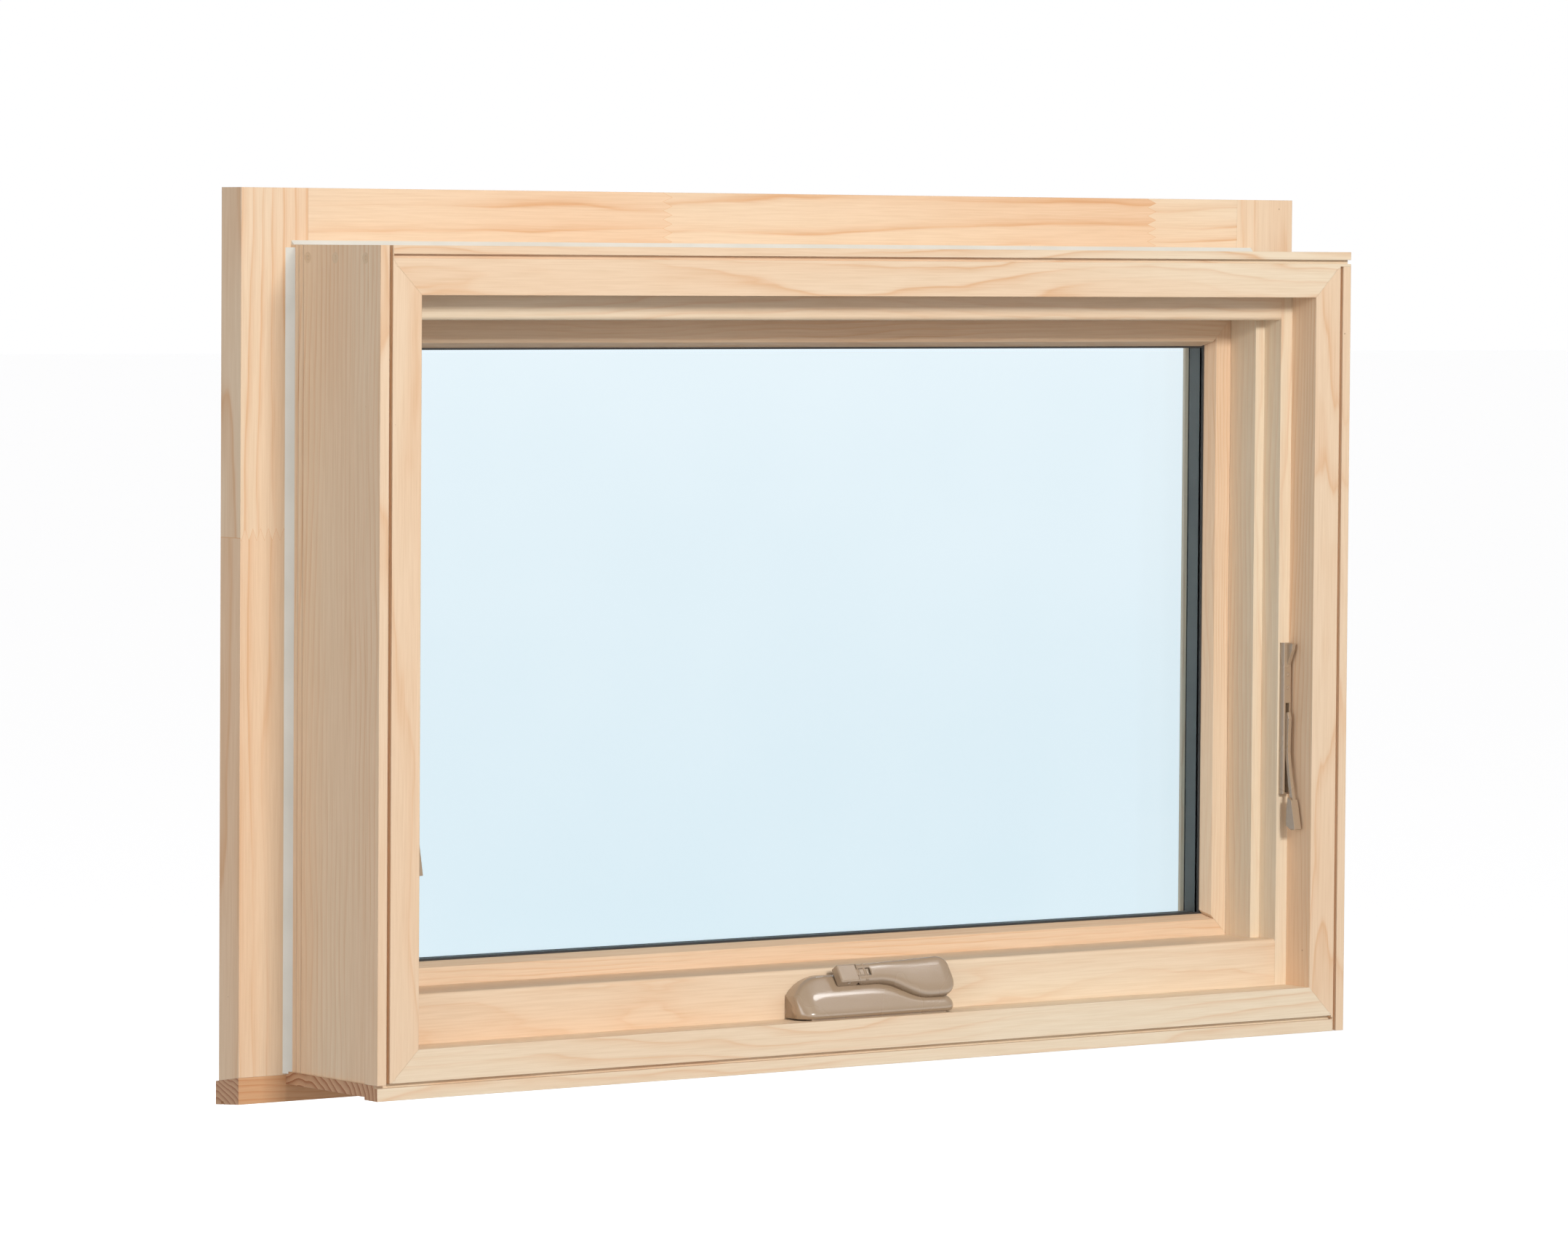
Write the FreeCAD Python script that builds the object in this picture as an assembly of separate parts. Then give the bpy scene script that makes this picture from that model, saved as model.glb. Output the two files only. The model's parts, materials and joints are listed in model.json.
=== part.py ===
"""Awning window unit: pine frame, exterior casing, glazed sash, crank operator and side locks.

Built with x to the right, y from the room face outwards and z up. The x origin is the middle of
the frame, y = 0 is the frame's room face and z = 0 is the lowest edge of the sill.
On export everything shifts so that the origin is the middle of the sill's seat.
"""
import os

import FreeCAD
import Part
from math import asin, cos, radians, sin

V = FreeCAD.Vector

# ---- Frame sizes, mm -------------------------------------------------------------------------
frame_width = 890.0
frame_height = 596.0
jamb_depth = 116.0          # room face to the casing's bearing plane
face_width = 34.6           # width of each member's room face
pocket_wall = 18.0          # jamb and head thickness beside the sash
lip_step = 2.0              # the front lip stands this far proud of the outer side
lip_depth = 16.0
kerf_depth = 4.0
kerf_width = 3.0
jamb_lip = 7.5              # outer edge to kerf, on the jambs
head_lip = 6.0
sill_lip = 9.0
groove = 1.2                # fine grooves near the outer end of the jambs' outer side
groove_places = (9.0, 15.0)  # distance of each groove from the bearing plane

# Stops inside the frame
ledge_depth = 27.6          # room face to the first stop face
stop_step_1 = 11.2          # width of the first stop face
second_face = 46.8          # room face to the second stop face
stop_back = 76.0            # room face to the stops' outer ends
stop_step_2 = 8.9           # width of the second stop face
sill_stop_height = 35.6
head_stop_height = 17.7
stop_round = 3.0
cap_thickness = 11.0        # sill stop's top board over the arm cavity
riser_thickness = 17.0
throat_half = 26.0          # operator's way through the riser

# Casing on the outside
casing_overhang = 40.0
casing_cover = 16.0         # how far the casing laps over the frame's outer end
casing_thickness = 25.5
nosing_drop = 10.5
nosing_thickness = 19.0
nosing_nose = 4.0           # nosing stands past the casing's outer face
nosing_slope = 9.0          # degrees
bead_size = 5.0             # sealant fillet

# Sash
sash_gap = 0.3              # stop to the sash's room face
sash_thickness = 44.0
side_gap = 13.1             # jamb wall to sash edge, room for the hinge hardware
head_gap = 9.8
sill_gap = 13.4             # sill to the sash's lower edge, room for the operator arms
sight_line = 72.7           # outer edge of the frame to the visible glass, at the sides and head
sill_sight = 86.6           # the same at the sill
bead_slope = 3.7
glass_rebate = 10.2         # sash room face to the glazing gasket
rebate_cover = 14.7         # glass unit's lap behind the sight line
gasket_thickness = 1.5
gasket_show = 1.4
pane = 3.0
unit_thickness = 18.0
spacer_width = 9.0
edge_clearance = 3.0        # glass unit's edge to the rebate
tape_thickness = 0.5

# Awning hinges: each support arm is half as long as its sash bar
hinge_inset = 7.7           # sash room face to the line of the hinge pins
pull_drop = 4.4             # sash's lower edge to the arms' fixed pivots and the operator's pull
arm_width = 15.0
arm_thickness = 2.5
bar_thickness = 2.0
hinge_pin_r = 2.5
track_width = 15.0
track_wall = 1.5
track_depth = 5.5
shoe_length = 16.0
run_fit = 0.05              # radial clearance of every running fit

# Operator
operator_x = -24.0          # spindle and arms, from the middle of the frame
spindle_tilt = 57.0         # degrees from upright, leaning into the room
face_level = -0.6446        # cover's sloping face from the ledge's front edge, along the spindle
hub_reach = 33.982          # spindle's place up that face, from the level of the ledge's edge
cover_length = 140.0
cover_height = 30.9         # above the ledge
cover_fall = 2.0            # where its top starts to fall away to the right, from the middle
cover_back = 0.3            # gap to the sill stop
cover_wall = 2.0
cover_lift = 1.2
arm_gap = 1.4               # cover's face to the back of the folded handle
handle_reach = 80.0         # fold pin to handle tip
handle_thickness = 7.5
fold_radius = 6.5
fold_pin_r = 1.25
hub_length = 17.0
hub_width = 14.0
spindle_r = 3.5
worm_r = 4.5
pull_links = 16.0           # half the distance between the two arm pivots
link_pivot_y = 62.0
link_length = 280.58       # with link_pivot_y, keeps the pull bar within 0.13 mm of straight
link_width = 13.0
link_thickness = 1.8
link_gap = 0.35
base_thickness = 1.5
link_pin_r = 2.5
pull_slack = 0.3            # radial play where the outer links meet the pull bar

# Locks
lock_z = 239.5              # lever pivot height
lock_length = 116.0
lock_top = 58.0             # pivot to the plate's top
lock_width = 7.4
lock_plate = 5.2
lock_lever_length = 84.0

# ---- Worked out ------------------------------------------------------------------------------
half_w = frame_width / 2
stop_inner = face_width + stop_step_1 + stop_step_2
sash_y = stop_back + sash_gap
sash_back = sash_y + sash_thickness
sash_half = half_w - pocket_wall - side_gap
sash_top = frame_height - pocket_wall - head_gap
sash_bottom = face_width + sill_gap
hinge_y = sash_y + hinge_inset
hinge_z = sash_bottom - pull_drop
arm_length = (sash_top - hinge_z) / 2   # puts the shoe's pin level with the sash's top edge
glass_half = half_w - sight_line
glass_top = frame_height - sight_line
glass_bottom = sill_sight
stop_top = face_width + sill_stop_height
head_stop_bottom = frame_height - face_width - head_stop_height
lean = radians(spindle_tilt)
up_face = V(0, cos(lean), sin(lean))
along_spindle = V(0, -sin(lean), cos(lean))


# ---- Helpers ---------------------------------------------------------------------------------
def prism(points, direction):
    """A straight prism on a closed outline."""
    wire = Part.makePolygon([V(*p) for p in points] + [V(*points[0])])
    return Part.Face(wire).extrude(direction)


def prism_x(points_yz, x0, x1):
    return prism([(x0, y, z) for y, z in points_yz], V(x1 - x0, 0, 0))


def prism_y(points_xz, y0, y1):
    return prism([(x, y0, z) for x, z in points_xz], V(0, y1 - y0, 0))


def prism_z(points_xy, z0, z1):
    return prism([(x, y, z0) for x, y in points_xy], V(0, 0, z1 - z0))


def box(x0, x1, y0, y1, z0, z1):
    return Part.makeBox(x1 - x0, y1 - y0, z1 - z0, V(x0, y0, z0))


def rod(radius, start, end):
    start, end = V(*start), V(*end)
    return Part.makeCylinder(radius, (end - start).Length, start, end - start)


def mirror_x(shape):
    return shape.mirror(V(0, 0, 0), V(1, 0, 0))


def fuse(*shapes):
    joined = shapes[0]
    for shape in shapes[1:]:
        joined = joined.fuse(shape)
    return joined.removeSplitter()


def cut(shape, *tools):
    for tool in tools:
        shape = shape.cut(tool)
    return shape


def spread(first, last, count):
    """Evenly spaced places from the first to the last."""
    return [first + (last - first) * k / (count - 1) for k in range(count)]


def group(*shapes):
    """Several separate solids that share one node."""
    return Part.makeCompound(list(shapes))


def edges_where(shape, test):
    return [edge for edge in shape.Edges if test(edge)]


def in_face_frame(shape):
    """Turns a shape drawn with z along the spindle and y up the cover's face into place."""
    origin = up_face * hub_reach + along_spindle * face_level + V(operator_x, 0, face_width)
    turned = shape.copy()
    turned.Placement = FreeCAD.Placement(origin, FreeCAD.Rotation(V(1, 0, 0), spindle_tilt))
    return turned


def screw(head_r, shank_r, length, at, direction, slot_depth=0.8):
    """Countersunk screw whose head is flush at a point, with its shank along a direction."""
    at, direction = V(*at), V(*direction)
    head = Part.makeCone(head_r, shank_r, head_r - shank_r, at, direction)
    shank = Part.makeCylinder(shank_r, length, at, direction)
    recess = Part.makeCone(head_r * 0.45, head_r * 0.2, slot_depth, at, direction)
    return cut(fuse(head, shank), recess)


def screw_hole(head_r, shank_r, length, at, direction):
    at, direction = V(*at), V(*direction)
    head = Part.makeCone(head_r, shank_r, head_r - shank_r, at, direction)
    return fuse(head, Part.makeCylinder(shank_r, length, at, direction))


parts = {}


def keep(node, shape):
    parts[node] = shape


# ---- Frame members ---------------------------------------------------------------------------
def member_outline(lip, inner_wall):
    """Section as (distance in from the outer side, depth from the room face)."""
    points = [(0, 0), (lip, 0), (lip, kerf_depth), (lip + kerf_width, kerf_depth),
              (lip + kerf_width, 0), (face_width, 0), (face_width, stop_back),
              (inner_wall, stop_back), (inner_wall, jamb_depth), (lip_step, jamb_depth)]
    for place in groove_places:
        depth = jamb_depth - place
        points += [(lip_step, depth), (lip_step + groove, depth - groove / 2),
                   (lip_step, depth - groove)]
    points += [(lip_step, lip_depth), (0, lip_depth)]
    return points


# Corner joint, as (distance from the butting member's outer side, distance from the through
# member's outer side): the through member keeps this zone of the corner square.
def corner_zone():
    butt = 11.0
    steps = [(0, butt), (10.5, butt), (10.5, 12.3), (12.8, 12.3), (12.8, 13.7), (15.0, 13.7)]
    return [(0, 0)] + steps + [(15.0, 15.0), (face_width, face_width), (face_width, 0)]


def corner_prisms(name):
    """The through member's zone and the butting member's zone at one corner."""
    right = "right" in name
    top = "top" in name
    jamb_through = name in ("top_left", "bottom_right")
    side = 1 if right else -1

    def place(u, v):
        across, down = (v, u) if jamb_through else (u, v)
        z = frame_height - down if top else down
        return side * (half_w - across), z

    zone = prism_y([place(u, v) for u, v in corner_zone()], -1, jamb_depth + 1)
    square_points = [(-1, -1), (face_width, -1), (face_width, face_width), (-1, face_width)]
    square = prism_y([place(u, v) for u, v in square_points], -1, jamb_depth + 1)
    grown = fuse(zone, prism_y([place(u, v) for u, v in
                                [(-1, -1), (face_width, -1), (face_width, 0), (0, 0),
                                 (0, 11.0), (-1, 11.0)]], -1, jamb_depth + 1))
    return grown, cut(square, grown)


def frame_member(kind):
    if kind in ("jamb_left", "jamb_right"):
        side = -1 if kind == "jamb_left" else 1
        outline = member_outline(jamb_lip, pocket_wall)
        body = prism_z([(side * (half_w - u), y) for u, y in outline], 0, frame_height)
        corners = [("top_left", True), ("bottom_left", False)] if side < 0 else \
                  [("top_right", False), ("bottom_right", True)]
    elif kind == "head_jamb":
        outline = member_outline(head_lip, pocket_wall)
        body = prism_x([(y, frame_height - u) for u, y in outline], -half_w, half_w)
        corners = [("top_left", False), ("top_right", True)]
    else:
        body = sill_blank()
        corners = [("bottom_left", True), ("bottom_right", False)]
    for corner, through in corners:
        through_zone, butting_zone = corner_prisms(corner)
        body = cut(body, butting_zone if through else through_zone)
    return body


def sill_blank():
    """Sill with a floor under the sash that falls away outside, out over the nosing."""
    fall_start = jamb_depth - 16.0
    edge_z = face_width - 3.5
    outline = [(0, 0), (0, sill_lip), (kerf_depth, sill_lip), (kerf_depth, sill_lip + kerf_width),
               (0, sill_lip + kerf_width), (0, face_width), (fall_start, face_width),
               (jamb_depth, edge_z), (jamb_depth, lip_step), (lip_depth, lip_step),
               (lip_depth, 0)]
    body = prism_x(outline, -half_w, half_w)
    tongue_half = half_w - casing_cover - 0.3
    nose_top = edge_z - 4.0
    tongue_y = jamb_depth + casing_thickness - 1.0
    floor = nosing_top_at(jamb_depth)
    tongue = prism_x([(jamb_depth, edge_z), (tongue_y, nose_top), (tongue_y, nosing_top_at(tongue_y)),
                      (jamb_depth, floor)], -tongue_half, tongue_half)
    return fuse(body, tongue)


def nosing_top_at(y):
    fall = sin(radians(nosing_slope)) / cos(radians(nosing_slope))
    return nosing_thickness - nosing_drop - (y - jamb_depth) * fall


def build_frame():
    for kind in ("jamb_left", "jamb_right", "head_jamb", "sill"):
        keep(kind, frame_member(kind))
    # The corners are held by screws driven through the through member, heads outside.
    low, high = lip_step, frame_height - lip_step
    places = []
    for y in (22.0, 60.0, jamb_depth - 21.0):
        places += [((lip_step - half_w, y, high - 7.0), (1, 0, 0)),
                   ((9.0 - half_w, y, low), (0, 0, 1)),
                   ((half_w - 9.0, y, high), (0, 0, -1)),
                   ((half_w - lip_step, y, low + 13.0), (-1, 0, 0))]
    keep("frame_screws", group(*[screw(4.0, 2.0, 36.0, *place) for place in places]))
    holes = [screw_hole(4.0, 2.0, 36.0, *place) for place in places]
    for node in ("jamb_left", "jamb_right", "head_jamb", "sill"):
        keep(node, cut(parts[node], *holes))


def build_stops():
    """Side stops run from sill stop level to the head; head and sill stops fit between them."""
    floor = face_width
    for node, side in (("side_stop_left", -1), ("side_stop_right", 1)):
        outline = [(face_width, ledge_depth), (face_width + stop_step_1, ledge_depth),
                   (face_width + stop_step_1, second_face), (stop_inner, second_face),
                   (stop_inner, stop_back), (face_width, stop_back)]
        points = [(side * (half_w - u), y) for u, y in outline]
        keep(node, prism_z(points, floor, frame_height - face_width))
    inner = half_w - face_width - stop_step_1
    narrow = half_w - stop_inner
    edge_z = head_stop_bottom
    front = box(-inner, inner, ledge_depth, second_face, edge_z, frame_height - face_width)
    back = box(-narrow, narrow, second_face, stop_back, edge_z, frame_height - face_width)
    head_stop = fuse(front, back)
    front_edge = edges_where(head_stop, lambda e: abs(e.CenterOfMass.z - edge_z) < 0.01
                             and abs(e.CenterOfMass.y - ledge_depth) < 0.01)
    keep("head_stop", head_stop.makeFillet(stop_round, front_edge))
    riser = box(-inner, inner, ledge_depth, ledge_depth + riser_thickness, floor, stop_top)
    front_edge = edges_where(riser, lambda e: abs(e.CenterOfMass.z - stop_top) < 0.01
                             and abs(e.CenterOfMass.y - ledge_depth) < 0.01)
    riser = riser.makeFillet(stop_round, front_edge)
    # The operator's throat passes through the riser.
    throat = box(operator_x - throat_half, operator_x + throat_half, ledge_depth - 1, second_face,
                 floor, stop_top - 6.7)
    keep("sill_stop", cut(riser, throat))
    y0 = ledge_depth + riser_thickness
    keep("sill_stop_cap", fuse(
        box(-inner, inner, y0, second_face, stop_top - cap_thickness, stop_top),
        box(-narrow, narrow, second_face, stop_back, stop_top - cap_thickness, stop_top)))
    # Weatherstrip: a soft bulb against the sash's room face, in a groove of each stop.
    strips = []
    bulb = 1.2
    y = stop_back - bulb
    for side in (-1, 1):
        x = side * (half_w - stop_inner + 2.5)
        strips.append(rod(bulb, (x, y, stop_top + 0.5), (x, y, head_stop_bottom - 0.5)))
    x = half_w - stop_inner + 2.5
    strips.append(rod(bulb, (-x + 3, y, head_stop_bottom + 2.5), (x - 3, y, head_stop_bottom + 2.5)))
    strips.append(rod(bulb, (-x + 3, y, stop_top - 2.5), (x - 3, y, stop_top - 2.5)))
    keep("weatherstrip", group(*strips))
    for node in ("side_stop_left", "side_stop_right", "head_stop", "sill_stop_cap"):
        keep(node, cut(parts[node], *strips))


def build_casing():
    y0, y1 = jamb_depth, jamb_depth + casing_thickness
    outer = half_w + casing_overhang
    inner = half_w - casing_cover
    top = frame_height + casing_overhang
    head_bottom = frame_height - casing_cover
    for node, side in (("casing_left", -1), ("casing_right", 1)):
        foot = [(y0, nosing_top_at(y0)), (y1, nosing_top_at(y1)), (y1, top), (y0, top)]
        board = prism_x(foot, inner, outer)
        keep(node, mirror_x(board) if side < 0 else board)
    keep("casing_head", box(-inner, inner, y0, y1, head_bottom, top))
    nose_y = y1 + nosing_nose
    fall = nosing_top_at(y0) - nosing_top_at(nose_y)
    outline = [(y0, nosing_top_at(y0)), (nose_y, nosing_top_at(nose_y)),
               (nose_y, nosing_top_at(nose_y) - nosing_thickness + fall / 2), (y0, -nosing_drop)]
    nosing = prism_x(outline, -outer, outer)
    drip = box(-outer - 1, outer + 1, y1 - 6.0, y1 - 3.0, -nosing_drop - 9.0, -nosing_drop + 0.5)
    keep("sill_nosing", cut(nosing, drip))
    # Sealant fillet between the frame's sides and top and the casing.
    side_x = half_w - lip_step
    top_z = frame_height - lip_step
    low_z = nosing_top_at(y0) + 1.0
    profile = [(0, y0), (bead_size, y0), (0, y0 - bead_size)]
    right = prism_z([(side_x + u, y) for u, y in profile], low_z, top_z)
    head = prism_x([(y, top_z + u) for u, y in profile], -side_x, side_x)
    members = [parts[node] for node in ("jamb_left", "jamb_right", "head_jamb", "sill")]
    keep("sealant_bead", group(*[cut(b, *members) for b in (mirror_x(right), right, head)]))
    nails = []
    for side in (-1, 1):
        for z in spread(80.0, frame_height - 51.0, 4):
            nails.append(rod(1.4, (side * (half_w - 9.0), y1 - 40.0, z), (side * (half_w - 9.0), y1, z)))
    for x in spread(115.0 - half_w, half_w - 115.0, 4):
        nails.append(rod(1.4, (x, y1 - 40.0, frame_height - 9.0), (x, y1, frame_height - 9.0)))
        nails.append(rod(1.4, (x, y1 - 8.0, 2.0), (x, y0 - 20.0, 5.0)))
    keep("casing_nails", group(*nails))
    for node in ("casing_left", "casing_right", "casing_head", "sill_nosing", "jamb_left",
                 "jamb_right", "head_jamb", "sill"):
        keep(node, cut(parts[node], *nails))


# ---- Sash ------------------------------------------------------------------------------------
def sash_outline(width):
    """Section as (distance in from the sash's outer edge, y)."""
    rebate = width - rebate_cover
    glass_y = sash_y + glass_rebate
    return [(0, sash_y), (width - bead_slope, sash_y), (width, glass_y), (rebate, glass_y),
            (rebate, sash_back), (0, sash_back)]


def ring_bars(outline_for, half, bottom, top):
    """Four mitred bars round a rectangle: left, right, bottom and top."""
    reach = min(half, (top - bottom) / 2) - 1.0
    bars = {}
    for name in ("left", "right", "bottom", "top"):
        outline = outline_for(name)
        if name in ("left", "right"):
            side = -1 if name == "left" else 1
            bar = prism_z([(side * (half - u), y) for u, y in outline], bottom, top)
            wedge = [(side * half, bottom), (side * (half - reach), bottom + reach),
                     (side * (half - reach), top - reach), (side * half, top)]
        else:
            sign = 1 if name == "bottom" else -1
            edge = bottom if name == "bottom" else top
            bar = prism_x([(y, edge + sign * u) for u, y in outline], -half, half)
            wedge = [(-half, edge), (-half + reach, edge + sign * reach),
                     (half - reach, edge + sign * reach), (half, edge)]
        bars[name] = bar.common(prism_y(wedge, sash_y - 20, sash_back + 20))
    return bars


def build_sash():
    stile = sash_half - glass_half
    rail = glass_bottom - sash_bottom
    widths = {"left": stile, "right": stile, "bottom": rail, "top": sash_top - glass_top}
    bars = ring_bars(lambda n: sash_outline(widths[n]), sash_half, sash_bottom, sash_top)
    names = {"left": "sash_stile_left", "right": "sash_stile_right",
             "bottom": "sash_rail_bottom", "top": "sash_rail_top"}
    for side, node in names.items():
        keep(node, bars[side])

    glass_y = sash_y + glass_rebate
    unit_y = glass_y + gasket_thickness
    lap = rebate_cover - edge_clearance
    unit_half = glass_half + lap
    unit_low = glass_bottom - lap
    unit_top = glass_top + lap
    depth = lap + gasket_show
    bars = ring_bars(lambda n: [(0, glass_y), (depth, glass_y), (depth, unit_y), (0, unit_y)],
                     unit_half, unit_low, unit_top)
    gasket = list(bars.values())
    keep("glass_inner", box(-unit_half, unit_half, unit_y, unit_y + pane, unit_low, unit_top))
    outer_y = unit_y + unit_thickness - pane
    keep("glass_outer", box(-unit_half, unit_half, outer_y, outer_y + pane, unit_low, unit_top))
    seal = lap - spacer_width + 1.2
    bars = ring_bars(lambda n: [(0, unit_y + pane), (spacer_width, unit_y + pane),
                                (spacer_width, outer_y), (0, outer_y)],
                     unit_half - seal, unit_low + seal, unit_top - seal)
    keep("glass_spacer", group(*bars.values()))

    # Outside glazing beads, one to a side, bedded on a thin tape.
    tape_y = unit_y + unit_thickness
    bead_y = tape_y + tape_thickness
    lead = rebate_cover
    half = glass_half + rebate_cover
    low = glass_bottom - rebate_cover
    high = glass_top + rebate_cover
    tape = ring_bars(lambda n: [(4, tape_y), (lead, tape_y), (lead, bead_y), (4, bead_y)],
                     half, low, high)
    keep("glazing_gasket", group(*gasket, *tape.values()))
    beads = ring_bars(lambda n: [(0, bead_y), (lead, bead_y), (lead, bead_y + 4.0),
                                 (lead - 6.0, sash_back), (0, sash_back)], half, low, high)
    keep("glazing_beads_side", group(beads["left"], beads["right"]))
    keep("glazing_beads_rail", group(beads["bottom"], beads["top"]))
    blocks = [box(x - 30, x + 30, unit_y + 0.5, outer_y + pane - 0.5, low, unit_low)
              for x in (-half / 2, half / 2)]
    keep("setting_blocks", group(*blocks))


# ---- Awning hinges ---------------------------------------------------------------------------
def build_hinges():
    wall = half_w - pocket_wall
    top_pin = hinge_z + 2 * arm_length
    mid_pin = hinge_z + arm_length
    arm_x = wall - track_depth - 0.5 - arm_thickness
    bar_x = sash_half
    bar_half = 7.0
    track_top = top_pin + shoe_length / 2 + 1.3
    half_track = track_width / 2
    channel = cut(box(wall - track_depth, wall, hinge_y - half_track, hinge_y + half_track,
                      hinge_z - 8.0, track_top),
                  box(wall - track_depth - 1, wall - track_wall, hinge_y - half_track + track_wall,
                      hinge_y + half_track - track_wall, hinge_z - 9.0, track_top + 1))
    boss = rod(hinge_pin_r + 2.5, (wall - track_wall, hinge_y, hinge_z),
               (arm_x + arm_thickness + 0.2, hinge_y, hinge_z))
    fixed_pin = fuse(rod(hinge_pin_r, (wall - track_wall, hinge_y, hinge_z),
                         (arm_x - 0.2, hinge_y, hinge_z)),
                     rod(hinge_pin_r + 1.2, (arm_x - 1.0, hinge_y, hinge_z),
                         (arm_x - 0.2, hinge_y, hinge_z)))
    track_screws = [(wall - track_wall, hinge_y, z) for z in
                    (hinge_z + 40.0, mid_pin - 20.0, top_pin - 150.0, top_pin - 50.0)]
    track = fuse(channel, boss, fixed_pin)
    screws = [screw(2.7, 1.5, 14.0, at, (1, 0, 0), 0.5) for at in track_screws]
    holes = [screw_hole(2.7, 1.5, 14.0, at, (1, 0, 0)) for at in track_screws]
    arm = fuse(box(arm_x, arm_x + arm_thickness, hinge_y - arm_width / 2, hinge_y + arm_width / 2,
                   hinge_z, mid_pin),
               rod(arm_width / 2, (arm_x, hinge_y, hinge_z), (arm_x + arm_thickness, hinge_y, hinge_z)),
               rod(arm_width / 2, (arm_x, hinge_y, mid_pin), (arm_x + arm_thickness, hinge_y, mid_pin)))
    for z in (hinge_z, mid_pin):
        arm = cut(arm, rod(hinge_pin_r + run_fit, (arm_x - 1, hinge_y, z),
                           (arm_x + arm_thickness + 1, hinge_y, z)))
    bar = fuse(box(bar_x, bar_x + bar_thickness, hinge_y - bar_half, hinge_y + bar_half,
                   mid_pin - 20.0, top_pin),
               rod(bar_half, (bar_x, hinge_y, top_pin), (bar_x + bar_thickness, hinge_y, top_pin)))
    mid = fuse(rod(hinge_pin_r, (bar_x + bar_thickness, hinge_y, mid_pin),
                   (arm_x + arm_thickness + 0.2, hinge_y, mid_pin)),
               rod(hinge_pin_r + 2.0, (bar_x + bar_thickness, hinge_y, mid_pin),
                   (arm_x - 0.2, hinge_y, mid_pin)))
    upper = rod(2.0, (bar_x + bar_thickness, hinge_y, top_pin), (wall - track_wall - 1.0, hinge_y, top_pin))
    bar_holes = [(bar_x + bar_thickness, hinge_y, z) for z in
                 (mid_pin + 30.0, mid_pin + 110.0, top_pin - 40.0)]
    bar = fuse(bar, mid, upper)
    bar_screws = [screw(2.6, 1.5, 16.0, at, (-1, 0, 0), 0.5) for at in bar_holes]
    bar_cuts = [screw_hole(2.6, 1.5, 16.0, at, (-1, 0, 0)) for at in bar_holes]
    shoe_half = half_track - track_wall - 0.3
    shoe = box(wall - track_depth + 0.1, wall - track_wall - 0.3, hinge_y - shoe_half,
               hinge_y + shoe_half, top_pin - shoe_length / 2, top_pin + shoe_length / 2)
    shoe = cut(shoe, rod(2.0 + run_fit, (wall - 20, hinge_y, top_pin), (wall, hinge_y, top_pin)))
    keep("track_screws", group(*screws, *[mirror_x(s) for s in screws]))
    keep("sash_screws", group(*bar_screws, *[mirror_x(s) for s in bar_screws]))
    for side, name in ((1, "right"), (-1, "left")):
        place = (lambda s: s) if side > 0 else mirror_x
        keep("hinge_track_" + name, place(cut(track, *holes)))
        keep("support_arm_" + name, place(arm))
        keep("sash_bar_" + name, place(cut(bar, *bar_cuts)))
        keep("hinge_shoe_" + name, place(shoe))
        jamb = "jamb_" + name
        keep(jamb, cut(parts[jamb], *[place(h) for h in holes]))
        stile = "sash_stile_" + name
        keep(stile, cut(parts[stile], *[place(h) for h in bar_cuts]))


# ---- Operator --------------------------------------------------------------------------------
def cover_solid(inset):
    """Cover body, or the space inside it when inset by the wall."""
    left = -cover_length / 2 + inset
    right = cover_length / 2 - inset
    low = face_width + (cover_lift if inset == 0 else -1.0)
    top = face_width + cover_height - inset
    outline = [(left, low), (left, top - 15.5), (left + 4.0, top - 9.5), (left + 12.0, top - 3.5),
               (left + 24.0, top), (cover_fall, top), (cover_fall + 10.0, top - 2.0),
               (cover_fall + 22.0, top - 7.0), (cover_fall + 34.0, top - 14.0),
               (right - 4.0, top - 18.5), (right, top - 21.5), (right, low)]
    body = prism_y(outline, -5.0, ledge_depth - cover_back + 1)
    level = face_level - inset
    front = [(y, face_width + (level + y * sin(lean)) / cos(lean)) for y in (-5.0, 60.0)]
    front_keep = prism_x([(front[0][0], front[0][1] - 100), (60.0, front[0][1] - 100), front[1],
                          front[0]], -200, 200)
    back_y = ledge_depth - cover_back
    return body.common(front_keep).common(box(-200, 200, 1.5 + inset, back_y, 0, 200))


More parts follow.
